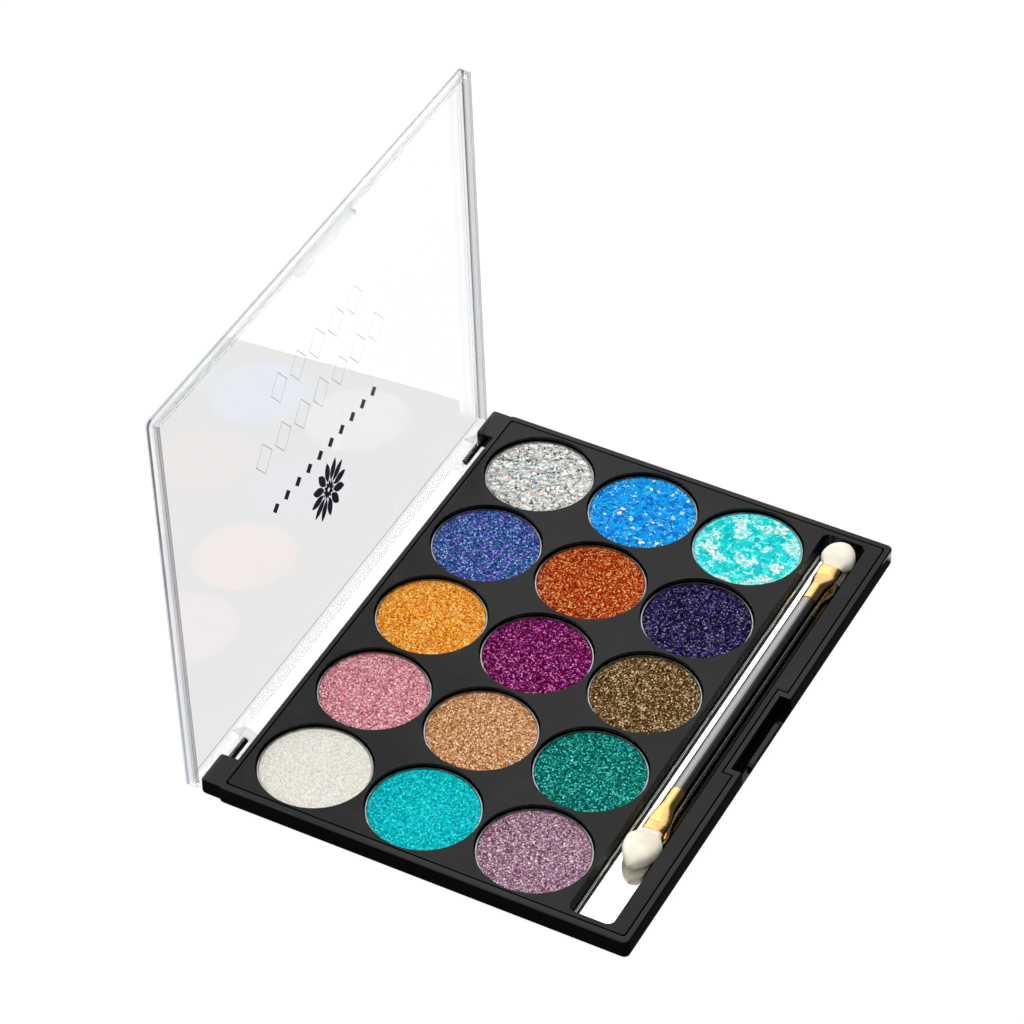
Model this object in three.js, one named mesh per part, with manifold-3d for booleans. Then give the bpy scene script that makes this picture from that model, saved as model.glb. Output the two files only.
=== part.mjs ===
// Fifteen-pan eyeshadow palette with a clear hinged lid and a double-ended applicator.
// Millimetres, +Z up. X runs along the hinge, +Y points to the hinge, Z = 0 is the table.
// The origin is the centre of the case underside. The lid stands open on its stop.
import * as THREE from 'three';
import { mergeVertices } from 'three/addons/utils/BufferGeometryUtils.js';
import Module from 'manifold-3d';

const wasm = await Module();
wasm.setup();

// ---- case body ----
const CASE_HALF_X = 70.75;
const CASE_HALF_Y = 50.8;
const CASE_HEIGHT = 5.2;
const CASE_CORNER_R = 1.5;
const CASE_BOTTOM_R = 1.1;
const CASE_TOP_R = 0.45;
const FLOOR_TOP = 1.0;

// ---- pocket in the case and the tray that fills it ----
const SEAM_HALF_X = 68.9;
const SEAM_FRONT_Y = -49.08;
const SEAM_REAR_Y = 49.38;
const SEAM_GAP = 0.4;
const SEAM_CORNER_R = 0.8;

// ---- pans ----
const PITCH = 27.44;
const COLUMNS = 5;
const ROWS = 3;
const MIDDLE_ROW_Y = 7.2;
const WELL_R = 13.35;
const PAN_R = 13.0;
const PAN_RIM_Z = 4.1;
const TIN_WALL = 0.25;
const TIN_FLOOR = 0.3;
const POWDER_Z = 3.96;
const POWDER_GAP = 0.05;
const POWDER_CHAMFER = 0.2;
const WELL_SEGMENTS = 48;
const PAN_SEGMENTS = 40;

// ---- applicator slot and its mirror floor ----
const SLOT_HALF_X = 67.5;
const SLOT_REAR_Y = -34.4;
const SLOT_FRONT_Y = -45.3;
const SLOT_CORNER_R = 1.8;
const MIRROR_MARGIN = 0.15;
const MIRROR_TOP = 1.15;

// ---- front latch ----
const LATCH_SEAM_HALF_X = 14.75;
const LATCH_SEAM_Y = -46.65;
const RECESS_HALF_X = 13.1;
const RECESS_REAR_Y = -47.9;
const LIP_REAR_Y = -49.7;
const LIP_HALF_X = 8;
const LIP_TOP = 2.7;
const LIP_END_R = 1.2;
const TAB_HALF_X = 12.6;
const TAB_DROP = 2.0;
const TAB_THICKNESS = 1.1;

// ---- hinge ----
const AXIS_Y = 53.7;
const AXIS_Z = 2.46;
const EAR_INNER_X = 61.2;
const EAR_OUTER_X = 70.4;
const EAR_REAR_Y = 55.1;
const EAR_BOTTOM = 1.1;
const EAR_TOP_R = 2.74;
const EAR_BOTTOM_R = 1.5;
const EAR_CORNER_R = 0.8;
const LUG_INNER_X = 51.2;
const LUG_OUTER_X = 61.0;
const PIN_R = 0.75;
const PIN_CLEARANCE = 0.1;
const PIN_INNER_X = 53;
const PIN_OUTER_X = 67;
const PIN_END_GAP = 0.3;
const OPEN_ANGLE = -92.5;

// ---- lid ----
const LID_HALF_X = 69.9;
const LID_FRONT_Y = -50.2;
const LID_REAR_Y = 55.88;
const LID_BOTTOM = 5.3;
const LID_TOP = 8.3;
const LID_PLATE = 1.4;
const LID_WALL = 1.2;
const LID_CORNER_R = 1.5;
const LID_EDGE_R = 0.5;

// ---- applicator ----
const APPLICATOR_Y = -40.4;
const APPLICATOR_Z = 3.85;
const HANDLE_START_X = -24.4;
const HANDLE_END_X = 45.1;
const HANDLE_R = 2.05;
const HANDLE_EDGE_R = 0.25;
const TENON_R = 1.6;
const TENON_LENGTH = 4;
const FERRULE_LENGTH = 13;
const FERRULE_R = 2.15;
const FERRULE_WALL = 0.3;
const CRIMP_HALF_WIDTH = 2.7;
const CRIMP_HALF_THICKNESS = 1.2;
const NEAR_SPONGE = { length: 11.4, halfWidth: 4.3 };
const FAR_SPONGE = { length: 9.1, halfWidth: 4.05 };
const SPONGE_HALF_THICKNESS = 2.55;
const SPONGE_STEM = 3;
const SPONGE_WIDEST_AT = 0.4;
const SPONGE_NECK = 0.55;
const RING_SEGMENTS = 28;

// Powder colours by row, hinge row first, each row from -X to +X.
const POWDERS = [
  [
    { name: 'pearl_white', color: 0xe6e4d9 },
    { name: 'soft_pink', color: 0xcc8790 },
    { name: 'golden_orange', color: 0xe6932f },
    { name: 'violet_blue', color: 0x3f5896 },
    { name: 'silver_flake', color: 0xbfc2bd },
  ],
  [
    { name: 'turquoise', color: 0x05b3ba },
    { name: 'rose_gold', color: 0xc19061 },
    { name: 'magenta_plum', color: 0x6d1851 },
    { name: 'copper_orange', color: 0xa84718 },
    { name: 'bright_blue', color: 0x1395e5 },
  ],
  [
    { name: 'mauve_lilac', color: 0x997587 },
    { name: 'emerald_teal', color: 0x086f65 },
    { name: 'bronze_brown', color: 0x6e5233 },
    { name: 'midnight_navy', color: 0x282344 },
    { name: 'aqua_flake', color: 0x5cdedd },
  ],
];

// ---- materials ----
function material(color, roughness, metalness) {
  return new THREE.MeshStandardMaterial({ color, roughness, metalness });
}

const BLACK_PLASTIC = material(0x0a0a0b, 0.12, 0);
const MIRROR_FILM = material(0xf2f2f2, 0.03, 1);
const TIN = material(0xc9cccf, 0.25, 1);
const GOLD = material(0xd9a84e, 0.2, 1);
const SPONGE = material(0xf5f0e4, 0.95, 0);
const CLEAR_PLASTIC = new THREE.MeshStandardMaterial({
  color: 0xf4f7f8,
  roughness: 0.05,
  metalness: 0,
  transparent: true,
  opacity: 0.25,
});

// ---- booleans ----
const WELD_TOLERANCE = 1e-4;

// Joins coincident vertices and drops the triangles that collapse.
function weld(geometry) {
  const plain = geometry.clone();
  plain.deleteAttribute('normal');
  plain.deleteAttribute('uv');
  const welded = mergeVertices(plain, WELD_TOLERANCE);
  const corners = welded.index.array;
  const kept = [];
  for (let i = 0; i < corners.length; i += 3) {
    const [a, b, c] = [corners[i], corners[i + 1], corners[i + 2]];
    if (a !== b && b !== c && c !== a) {
      kept.push(a, b, c);
    }
  }
  welded.setIndex(kept);
  return welded;
}

function toManifold(geometry) {
  const welded = weld(geometry);
  const mesh = new wasm.Mesh({
    numProp: 3,
    vertProperties: new Float32Array(welded.attributes.position.array),
    triVerts: new Uint32Array(welded.index.array),
  });
  return new wasm.Manifold(mesh);
}

function fromManifold(solid) {
  const mesh = solid.getMesh();
  const geometry = new THREE.BufferGeometry();
  geometry.setAttribute('position', new THREE.BufferAttribute(mesh.vertProperties, 3));
  geometry.setIndex(new THREE.BufferAttribute(mesh.triVerts, 1));
  return geometry;
}

function join(geometries) {
  const solids = geometries.map(toManifold);
  return fromManifold(solids.reduce((sum, solid) => sum.add(solid)));
}

function cut(geometry, cutters) {
  const solids = cutters.map(toManifold);
  return fromManifold(solids.reduce((rest, solid) => rest.subtract(solid), toManifold(geometry)));
}

function common(first, second) {
  return fromManifold(toManifold(first).intersect(toManifold(second)));
}

// ---- outlines and solids ----
function roundedRect(x0, y0, x1, y1, r, target = new THREE.Shape()) {
  target.moveTo(x0 + r, y0);
  target.lineTo(x1 - r, y0);
  target.absarc(x1 - r, y0 + r, r, -Math.PI / 2, 0, false);
  target.lineTo(x1, y1 - r);
  target.absarc(x1 - r, y1 - r, r, 0, Math.PI / 2, false);
  target.lineTo(x0 + r, y1);
  target.absarc(x0 + r, y1 - r, r, Math.PI / 2, Math.PI, false);
  target.lineTo(x0, y0 + r);
  target.absarc(x0 + r, y0 + r, r, Math.PI, 1.5 * Math.PI, false);
  return target;
}

// Extrudes an outline in XY from z0 to z1, with both rims rounded by edgeR.
function prism(shape, z0, z1, edgeR = 0, curveSegments = 4) {
  const geometry = new THREE.ExtrudeGeometry(shape, {
    depth: z1 - z0 - 2 * edgeR,
    curveSegments,
    bevelEnabled: edgeR > 0,
    bevelSize: edgeR,
    bevelThickness: edgeR,
    bevelOffset: -edgeR,
    bevelSegments: 3,
  });
  return geometry.translate(0, 0, z0 + edgeR);
}

// Extrudes an outline given in (Y, Z) along X from x0 to x1.
function prismAlongX(shape, x0, x1, edgeR = 0, curveSegments = 6) {
  const geometry = prism(shape, x0, x1, edgeR, curveSegments);
  geometry.rotateY(Math.PI / 2);
  return geometry.rotateX(Math.PI / 2);
}

// Extrudes an outline given in (X, Z) along Y from y0 to y1.
function prismAlongY(shape, y0, y1, curveSegments = 4) {
  const geometry = prism(shape, -y1, -y0, 0, curveSegments);
  return geometry.rotateX(Math.PI / 2);
}

function block(x0, x1, y0, y1, z0, z1) {
  const geometry = new THREE.BoxGeometry(x1 - x0, y1 - y0, z1 - z0);
  return geometry.translate((x0 + x1) / 2, (y0 + y1) / 2, (z0 + z1) / 2);
}

// Turns a profile of [radius, height] pairs about the Z axis.
function turned(profile, segments) {
  const points = profile.map(([r, z]) => new THREE.Vector2(r, z));
  return new THREE.LatheGeometry(points, segments).rotateX(Math.PI / 2);
}

// A cylinder along X on the hinge axis.
function hingeCylinder(radius, x0, x1, segments = 20) {
  const geometry = new THREE.CylinderGeometry(radius, radius, x1 - x0, segments);
  return geometry.rotateZ(Math.PI / 2).translate((x0 + x1) / 2, AXIS_Y, AXIS_Z);
}

// Joins elliptical rings along X: each ring is [x, half width in Y, half thickness in Z].
// A closed loop of rings makes a tube, otherwise both ends are capped.
function loft(rings, closedLoop) {
  const positions = [];
  const indices = [];
  for (const [x, halfY, halfZ] of rings) {
    for (let k = 0; k < RING_SEGMENTS; k += 1) {
      const angle = (2 * Math.PI * k) / RING_SEGMENTS;
      positions.push(x, halfY * Math.cos(angle), halfZ * Math.sin(angle));
    }
  }
  const bands = closedLoop ? rings.length : rings.length - 1;
  for (let band = 0; band < bands; band += 1) {
    const a = band * RING_SEGMENTS;
    const b = ((band + 1) % rings.length) * RING_SEGMENTS;
    for (let k = 0; k < RING_SEGMENTS; k += 1) {
      const next = (k + 1) % RING_SEGMENTS;
      indices.push(a + k, a + next, b + k, a + next, b + next, b + k);
    }
  }
  if (!closedLoop) {
    addCap(positions, indices, 0, rings[0][0], true);
    addCap(positions, indices, (rings.length - 1) * RING_SEGMENTS, rings.at(-1)[0], false);
  }
  const geometry = new THREE.BufferGeometry();
  geometry.setAttribute('position', new THREE.Float32BufferAttribute(positions, 3));
  geometry.setIndex(indices);
  return geometry;
}

function addCap(positions, indices, first, x, facesStart) {
  const centre = positions.length / 3;
  positions.push(x, 0, 0);
  for (let k = 0; k < RING_SEGMENTS; k += 1) {
    const next = (k + 1) % RING_SEGMENTS;
    if (facesStart) {
      indices.push(centre, first + next, first + k);
    } else {
      indices.push(centre, first + k, first + next);
    }
  }
}

// ---- assembly helpers ----
const group = new THREE.Group();

function addPart(name, geometry, surface) {
  const mesh = new THREE.Mesh(geometry, surface);
  mesh.name = name;
  group.add(mesh);
}

// Turns lid geometry, drawn shut, to the open rest pose about the hinge axis.
function swingOpen(geometry) {
  geometry.translate(0, -AXIS_Y, -AXIS_Z);
  geometry.rotateX(THREE.MathUtils.degToRad(OPEN_ANGLE));
  return geometry.translate(0, AXIS_Y, AXIS_Z);
}

// ---- case ----
// Seam outline between case and tray, grown outward by grow, with the step round the latch.
function seamOutline(grow) {
  const side = SEAM_HALF_X + grow;
  const front = SEAM_FRONT_Y - grow;
  const rear = SEAM_REAR_Y + grow;
  const stepX = LATCH_SEAM_HALF_X - grow;
  const stepY = LATCH_SEAM_Y - grow;
  const r = SEAM_CORNER_R;
  const outline = new THREE.Shape();
  outline.moveTo(-side + r, front);
  outline.lineTo(-stepX, front);
  outline.lineTo(-stepX, stepY);
  outline.lineTo(stepX, stepY);
  outline.lineTo(stepX, front);
  outline.lineTo(side - r, front);
  outline.absarc(side - r, front + r, r, -Math.PI / 2, 0, false);
  outline.lineTo(side, rear - r);
  outline.absarc(side - r, rear - r, r, 0, Math.PI / 2, false);
  outline.lineTo(-side + r, rear);
  outline.absarc(-side + r, rear - r, r, Math.PI / 2, Math.PI, false);
  outline.lineTo(-side, front + r);
  outline.absarc(-side + r, front + r, r, Math.PI, 1.5 * Math.PI, false);
  return outline;
}

function caseBody() {
  const outline = roundedRect(-CASE_HALF_X, -CASE_HALF_Y, CASE_HALF_X, CASE_HALF_Y, CASE_CORNER_R);
  const roundBelow = prism(outline, 0, CASE_HEIGHT + CASE_BOTTOM_R, CASE_BOTTOM_R);
  const roundAbove = prism(outline, -CASE_TOP_R, CASE_HEIGHT, CASE_TOP_R);
  return common(roundBelow, roundAbove);
}

// Ear profile in (Y, Z): its upper rear corner is concentric with the hinge axis.
function earProfile() {
  const innerY = SEAM_REAR_Y;
  const arcTop = Math.asin((CASE_HEIGHT - AXIS_Z) / EAR_TOP_R);
  const arcRear = Math.acos((EAR_REAR_Y - AXIS_Y) / EAR_TOP_R);
  const profile = new THREE.Shape();
  profile.moveTo(innerY, EAR_BOTTOM);
  profile.lineTo(EAR_REAR_Y - EAR_BOTTOM_R, EAR_BOTTOM);
  const bottomZ = EAR_BOTTOM + EAR_BOTTOM_R;
  profile.absarc(EAR_REAR_Y - EAR_BOTTOM_R, bottomZ, EAR_BOTTOM_R, -Math.PI / 2, 0, false);
  profile.absarc(AXIS_Y, AXIS_Z, EAR_TOP_R, arcRear, arcTop, false);
  profile.lineTo(innerY, CASE_HEIGHT);
  profile.closePath();
  return profile;
}

function ear(side) {
  const x0 = side > 0 ? EAR_INNER_X : -EAR_OUTER_X;
  const x1 = side > 0 ? EAR_OUTER_X : -EAR_INNER_X;
  const outline = roundedRect(x0, 0, x1, EAR_REAR_Y, EAR_CORNER_R);
  return common(prismAlongX(earProfile(), x0, x1), prism(outline, 0, CASE_HEIGHT, CASE_TOP_R));
}

// Outer part of the latch recess in (X, Z): it leaves a low lip standing in the middle.
function lipCutProfile() {
  const above = CASE_HEIGHT + 1;
  const profile = new THREE.Shape();
  profile.moveTo(-RECESS_HALF_X, FLOOR_TOP);
  profile.lineTo(-LIP_HALF_X, FLOOR_TOP);
  profile.lineTo(-LIP_HALF_X, LIP_TOP - LIP_END_R);
  profile.absarc(-LIP_HALF_X + LIP_END_R, LIP_TOP - LIP_END_R, LIP_END_R, Math.PI, Math.PI / 2, true);
  profile.lineTo(LIP_HALF_X - LIP_END_R, LIP_TOP);
  profile.absarc(LIP_HALF_X - LIP_END_R, LIP_TOP - LIP_END_R, LIP_END_R, Math.PI / 2, 0, true);
  profile.lineTo(LIP_HALF_X, FLOOR_TOP);
  profile.lineTo(RECESS_HALF_X, FLOOR_TOP);
  profile.lineTo(RECESS_HALF_X, above);
  profile.lineTo(-RECESS_HALF_X, above);
  profile.closePath();
  return profile;
}

function latchRecess() {
  const above = CASE_HEIGHT + 1;
  const inner = block(
    -RECESS_HALF_X, RECESS_HALF_X, LIP_REAR_Y, RECESS_REAR_Y, FLOOR_TOP, above);
  const outer = prismAlongY(lipCutProfile(), -CASE_HALF_Y - 1, LIP_REAR_Y);
  return [inner, outer];
}

function buildCase() {
  const shell = join([caseBody(), ear(-1), ear(1)]);
  const pocket = prism(seamOutline(SEAM_GAP / 2), FLOOR_TOP, CASE_HEIGHT + 1);
  const holeR = PIN_R + PIN_CLEARANCE;
  const holeEnd = PIN_OUTER_X + PIN_END_GAP;
  const holes = [
    hingeCylinder(holeR, EAR_INNER_X - 1, holeEnd),
    hingeCylinder(holeR, -holeEnd, -EAR_INNER_X + 1),
  ];
  addPart('base_case', cut(shell, [pocket, ...latchRecess(), ...holes]), BLACK_PLASTIC);
}

// ---- tray, mirror and pans ----
function panCentre(row, column) {
  const x = (column - (COLUMNS - 1) / 2) * PITCH;
  const y = MIDDLE_ROW_Y + ((ROWS - 1) / 2 - row) * PITCH;
  return { x, y };
}

function slotOutline(target, margin) {
  return roundedRect(
    -SLOT_HALF_X + margin, SLOT_FRONT_Y + margin,
    SLOT_HALF_X - margin, SLOT_REAR_Y - margin, SLOT_CORNER_R, target);
}

function buildTray() {
  const outline = seamOutline(-SEAM_GAP / 2);
  outline.holes.push(slotOutline(new THREE.Path(), 0));
  for (let row = 0; row < ROWS; row += 1) {
    for (let column = 0; column < COLUMNS; column += 1) {
      const { x, y } = panCentre(row, column);
      const well = new THREE.Path();
      well.absarc(x, y, WELL_R, 0, 2 * Math.PI, false);
      outline.holes.push(well);
    }
  }
  addPart('pan_tray', prism(outline, FLOOR_TOP, CASE_HEIGHT, 0, WELL_SEGMENTS / 2), BLACK_PLASTIC);
}

function buildMirror() {
  const outline = slotOutline(new THREE.Shape(), MIRROR_MARGIN);
  addPart('mirror_strip', prism(outline, FLOOR_TOP, MIRROR_TOP), MIRROR_FILM);
}

function tinPan() {
  const innerR = PAN_R - TIN_WALL;
  return turned([
    [0, FLOOR_TOP],
    [PAN_R, FLOOR_TOP],
    [PAN_R, PAN_RIM_Z],
    [innerR, PAN_RIM_Z],
    [innerR, FLOOR_TOP + TIN_FLOOR],
    [0, FLOOR_TOP + TIN_FLOOR],
  ], PAN_SEGMENTS);
}

function powderCake() {
  const r = PAN_R - TIN_WALL - POWDER_GAP;
  return turned([
    [0, FLOOR_TOP + TIN_FLOOR],
    [r, FLOOR_TOP + TIN_FLOOR],
    [r, POWDER_Z - POWDER_CHAMFER],
    [r - POWDER_CHAMFER, POWDER_Z],
    [0, POWDER_Z],
  ], PAN_SEGMENTS);
}

function buildPans() {
  for (let row = 0; row < ROWS; row += 1) {
    for (let column = 0; column < COLUMNS; column += 1) {
      const { x, y } = panCentre(row, column);
      const powder = POWDERS[row][column];
      addPart(`pan_${powder.name}`, tinPan().translate(x, y, 0), TIN);
      addPart(`powder_${powder.name}`, powderCake().translate(x, y, 0), material(powder.color, 0.6, 0));
    }
  }
}

// ---- lid ----
// Lug profile in (Y, Z): a rounded eye on the hinge axis with a gusset up to the plate.
function lugProfile() {
  const eyeR = LID_REAR_Y - AXIS_Y;
  const plateZ = LID_TOP - LID_PLATE / 2;
  const wallY = LID_REAR_Y - LID_WALL;
  const profile = new THREE.Shape();
  profile.moveTo(AXIS_Y - eyeR, AXIS_Z);
  profile.absarc(AXIS_Y, AXIS_Z, eyeR, Math.PI, 2 * Math.PI, false);
  profile.lineTo(LID_REAR_Y, LID_BOTTOM + LID_WALL);
  profile.lineTo(wallY, plateZ);
  profile.lineTo(AXIS_Y - eyeR, AXIS_Z + eyeR / 2);
  profile.closePath();
  return profile;
}

function lidShell() {
  const outline = roundedRect(-LID_HALF_X, LID_FRONT_Y, LID_HALF_X, LID_REAR_Y, LID_CORNER_R);
  const slab = prism(outline, LID_BOTTOM - 2 * LID_EDGE_R, LID_TOP, LID_EDGE_R);
  const reach = 2 * CASE_HALF_X;
  const below = block(-reach, reach, -reach, reach, LID_BOTTOM - 3, LID_BOTTOM);
  const cavity = block(
    -LID_HALF_X + LID_WALL, LID_HALF_X - LID_WALL,
    LID_FRONT_Y + LID_WALL, LID_REAR_Y - LID_WALL,
    LID_BOTTOM - 1, LID_TOP - LID_PLATE);
  return cut(slab, [below, cavity]);
}

function latchTab() {
  const outline = new THREE.Shape();
  const bottom = LID_BOTTOM - TAB_DROP;
  roundedRect(-TAB_HALF_X, bottom, TAB_HALF_X, LID_TOP - LID_PLATE, LID_EDGE_R, outline);
  const innerY = LID_FRONT_Y + LID_WALL;
  return prismAlongY(outline, innerY - TAB_THICKNESS, innerY);
}

function buildLid() {
  const lugs = [
    prismAlongX(lugProfile(), LUG_INNER_X, LUG_OUTER_X),
    prismAlongX(lugProfile(), -LUG_OUTER_X, -LUG_INNER_X),
  ];
  const solid = join([lidShell(), latchTab(), ...lugs]);
  const holeR = PIN_R + PIN_CLEARANCE;
  const holeEnd = PIN_INNER_X - PIN_END_GAP;
  const holes = [
    hingeCylinder(holeR, holeEnd, LUG_OUTER_X + 1),
    hingeCylinder(holeR, -LUG_OUTER_X - 1, -holeEnd),
  ];
  addPart('clear_lid', swingOpen(cut(solid, holes)), CLEAR_PLASTIC);
}

function buildHingePins() {
  addPart('hinge_pin_right', hingeCylinder(PIN_R, PIN_INNER_X, PIN_OUTER_X), BLACK_PLASTIC);
  addPart('hinge_pin_left', hingeCylinder(PIN_R, -PIN_OUTER_X, -PIN_INNER_X), BLACK_PLASTIC);
}

// ---- applicator ----
function handle() {
  const shoulder = HANDLE_END_X - HANDLE_START_X;
  const r = HANDLE_R;
  const edge = HANDLE_EDGE_R;
  const profile = [
    [0, -TENON_LENGTH],
    [TENON_R, -TENON_LENGTH],
    [TENON_R, 0],
    [r - edge, 0],
    [r, edge],
    [r, shoulder - edge],
    [r - edge, shoulder],
    [TENON_R, shoulder],
    [TENON_R, shoulder + TENON_LENGTH],
    [0, shoulder + TENON_LENGTH],
  ];
  return turned(profile, RING_SEGMENTS).rotateY(Math.PI / 2).translate(HANDLE_START_X, 0, 0);
}

// A gold tube, round at the handle and flattened to an oval at the sponge.
function ferrule() {
  const wall = FERRULE_WALL;
  const neck = 0.4 * FERRULE_LENGTH;
  const crimp = 0.75 * FERRULE_LENGTH;
  const stations = [
    [0.02, FERRULE_R, FERRULE_R],
    [neck, FERRULE_R, FERRULE_R],
    [crimp, CRIMP_HALF_WIDTH, CRIMP_HALF_THICKNESS],
    [FERRULE_LENGTH, CRIMP_HALF_WIDTH, CRIMP_HALF_THICKNESS],
  ];
  const inside = stations.map(([x, halfY, halfZ]) => [x, halfY - wall, halfZ - wall]);
  return loft([...stations, ...inside.reverse()], true);
}

// Half width of the sponge as a share of its widest, t = 0 at the ferrule and 1 at the tip.
function spongeSwell(t) {
  if (t < SPONGE_WIDEST_AT) {
    const rise = Math.sin((Math.PI / 2) * (t / SPONGE_WIDEST_AT));
    return SPONGE_NECK + (1 - SPONGE_NECK) * rise;
  }
  const toTip = (t - SPONGE_WIDEST_AT) / (1 - SPONGE_WIDEST_AT);
  return (1 - toTip ** 2.6) ** 0.6;
}

// A flattened teardrop with a short oval stem that sits in the ferrule.
function sponge({ length, halfWidth }) {
  const gap = 0.05;
  const stemY = CRIMP_HALF_WIDTH - FERRULE_WALL - gap;
  const stemZ = CRIMP_HALF_THICKNESS - FERRULE_WALL - gap;
  const rings = [[-SPONGE_STEM, stemY, stemZ], [gap, stemY, stemZ]];
  const steps = 10;
  for (let step = 0; step < steps; step += 1) {
    const t = step / steps;
    const swell = spongeSwell(t);
    const x = gap + 0.02 + length * t;
    rings.push([x, halfWidth * swell, SPONGE_HALF_THICKNESS * swell ** 0.8]);
  }
  rings.push([gap + length, 0.2 * halfWidth, 0.2 * SPONGE_HALF_THICKNESS]);
  return loft(rings, false);
}

// The -X end is the same shape turned half a turn about Z.
function placeEnd(geometry, x, side) {
  if (side < 0) {
    geometry.rotateZ(Math.PI);
  }
  return geometry.translate(x, APPLICATOR_Y, APPLICATOR_Z);
}

function buildApplicator() {
  const body = handle().translate(0, APPLICATOR_Y, APPLICATOR_Z);
  addPart('applicator_handle', body, BLACK_PLASTIC);
  addPart('ferrule_near', placeEnd(ferrule(), HANDLE_START_X, -1), GOLD);
  addPart('ferrule_far', placeEnd(ferrule(), HANDLE_END_X, 1), GOLD);
  const nearX = HANDLE_START_X - FERRULE_LENGTH;
  const farX = HANDLE_END_X + FERRULE_LENGTH;
  addPart('sponge_tip_near', placeEnd(sponge(NEAR_SPONGE), nearX, -1), SPONGE);
  addPart('sponge_tip_far', placeEnd(sponge(FAR_SPONGE), farX, 1), SPONGE);
}

buildCase();
buildTray();
buildMirror();
buildPans();
buildHingePins();
buildLid();
buildApplicator();

export default group;
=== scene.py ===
"""Looks for the eyeshadow palette: materials, loose detail, studio and camera.

All lengths are written in millimetres and turned into metres by MM. The frame is the CAD's:
X along the hinge, +Y towards the hinge, Z up from the table.
"""

import math
import random

import bpy
from mathutils import Matrix, Vector, noise


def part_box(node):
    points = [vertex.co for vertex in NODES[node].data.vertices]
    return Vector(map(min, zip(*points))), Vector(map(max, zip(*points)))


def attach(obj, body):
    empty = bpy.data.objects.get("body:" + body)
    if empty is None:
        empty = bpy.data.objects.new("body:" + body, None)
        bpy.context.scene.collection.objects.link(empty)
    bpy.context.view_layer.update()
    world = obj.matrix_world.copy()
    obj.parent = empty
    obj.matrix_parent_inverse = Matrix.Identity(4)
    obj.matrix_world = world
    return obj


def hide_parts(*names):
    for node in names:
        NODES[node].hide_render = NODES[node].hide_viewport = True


MM = 0.001

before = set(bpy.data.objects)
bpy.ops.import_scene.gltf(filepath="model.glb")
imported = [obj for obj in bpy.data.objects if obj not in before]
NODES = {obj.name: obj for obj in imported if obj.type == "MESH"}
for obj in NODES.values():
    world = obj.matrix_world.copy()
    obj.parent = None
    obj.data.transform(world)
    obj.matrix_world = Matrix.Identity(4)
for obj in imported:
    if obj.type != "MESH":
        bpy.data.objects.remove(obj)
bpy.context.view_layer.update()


def srgb(red, green, blue):
    """Turns an 8-bit screen colour into the linear colour that shaders use."""
    def linear(value):
        value /= 255
        return value / 12.92 if value <= 0.04045 else ((value + 0.055) / 1.055) ** 2.4
    return (linear(red), linear(green), linear(blue), 1.0)


# ------------------------------------------------------------------ node helpers
def set_span(map_range, source, target):
    """Sets a Map Range node to carry one span of values onto another."""
    map_range.inputs["From Min"].default_value = source[0]
    map_range.inputs["From Max"].default_value = source[1]
    map_range.inputs["To Min"].default_value = target[0]
    map_range.inputs["To Max"].default_value = target[1]


class Shader:
    """A node material with one Principled shader, and short calls to add to it."""

    def __init__(self, name):
        self.material = bpy.data.materials.new(name)
        self.material.use_nodes = True
        self.tree = self.material.node_tree
        self.principled = self.tree.nodes["Principled BSDF"]
        self.output = self.tree.nodes["Material Output"]
        self.coordinates = self.add("ShaderNodeTexCoord").outputs["Object"]

    def add(self, kind, **settings):
        node = self.tree.nodes.new(kind)
        for key, value in settings.items():
            setattr(node, key, value)
        return node

    def link(self, source, target):
        self.tree.links.new(source, target)

    def set(self, **values):
        for key, value in values.items():
            self.principled.inputs[key.replace("_", " ")].default_value = value

    def noise(self, scale, detail=3.0, roughness=0.5, coordinates=None):
        node = self.add("ShaderNodeTexNoise")
        node.inputs["Scale"].default_value = scale
        node.inputs["Detail"].default_value = detail
        node.inputs["Roughness"].default_value = roughness
        self.link(coordinates or self.coordinates, node.inputs["Vector"])
        return node.outputs["Fac"]

    def voronoi(self, scale, feature="F1", coordinates=None):
        node = self.add("ShaderNodeTexVoronoi", feature=feature)
        node.inputs["Scale"].default_value = scale
        self.link(coordinates or self.coordinates, node.inputs["Vector"])
        return node

    def ramp(self, factor, stops, interpolation="LINEAR"):
        node = self.add("ShaderNodeValToRGB")
        node.color_ramp.interpolation = interpolation
        elements = node.color_ramp.elements
        while len(elements) < len(stops):
            elements.new(0.5)
        for element, (position, colour) in zip(elements, stops):
            element.position = position
            element.color = colour
        self.link(factor, node.inputs["Fac"])
        return node.outputs["Color"]

    def span(self, factor, low, high):
        node = self.add("ShaderNodeMapRange")
        node.inputs["To Min"].default_value = low
        node.inputs["To Max"].default_value = high
        self.link(factor, node.inputs["Value"])
        return node.outputs["Result"]

    def mix(self, factor, first, second, blend="MIX"):
        node = self.add("ShaderNodeMix", data_type="RGBA", blend_type=blend)
        if isinstance(factor, float):
            node.inputs["Factor"].default_value = factor
        else:
            self.link(factor, node.inputs["Factor"])
        for socket, value in ((node.inputs["A"], first), (node.inputs["B"], second)):
            if isinstance(value, tuple):
                socket.default_value = value
            else:
                self.link(value, socket)
        return node.outputs["Result"]

    def bump(self, height, strength, distance):
        node = self.add("ShaderNodeBump")
        node.inputs["Strength"].default_value = strength
        node.inputs["Distance"].default_value = distance
        self.link(height, node.inputs["Height"])
        self.link(node.outputs["Normal"], self.principled.inputs["Normal"])
        return node

    def feed(self, source, socket):
        self.link(source, self.principled.inputs[socket])


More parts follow.
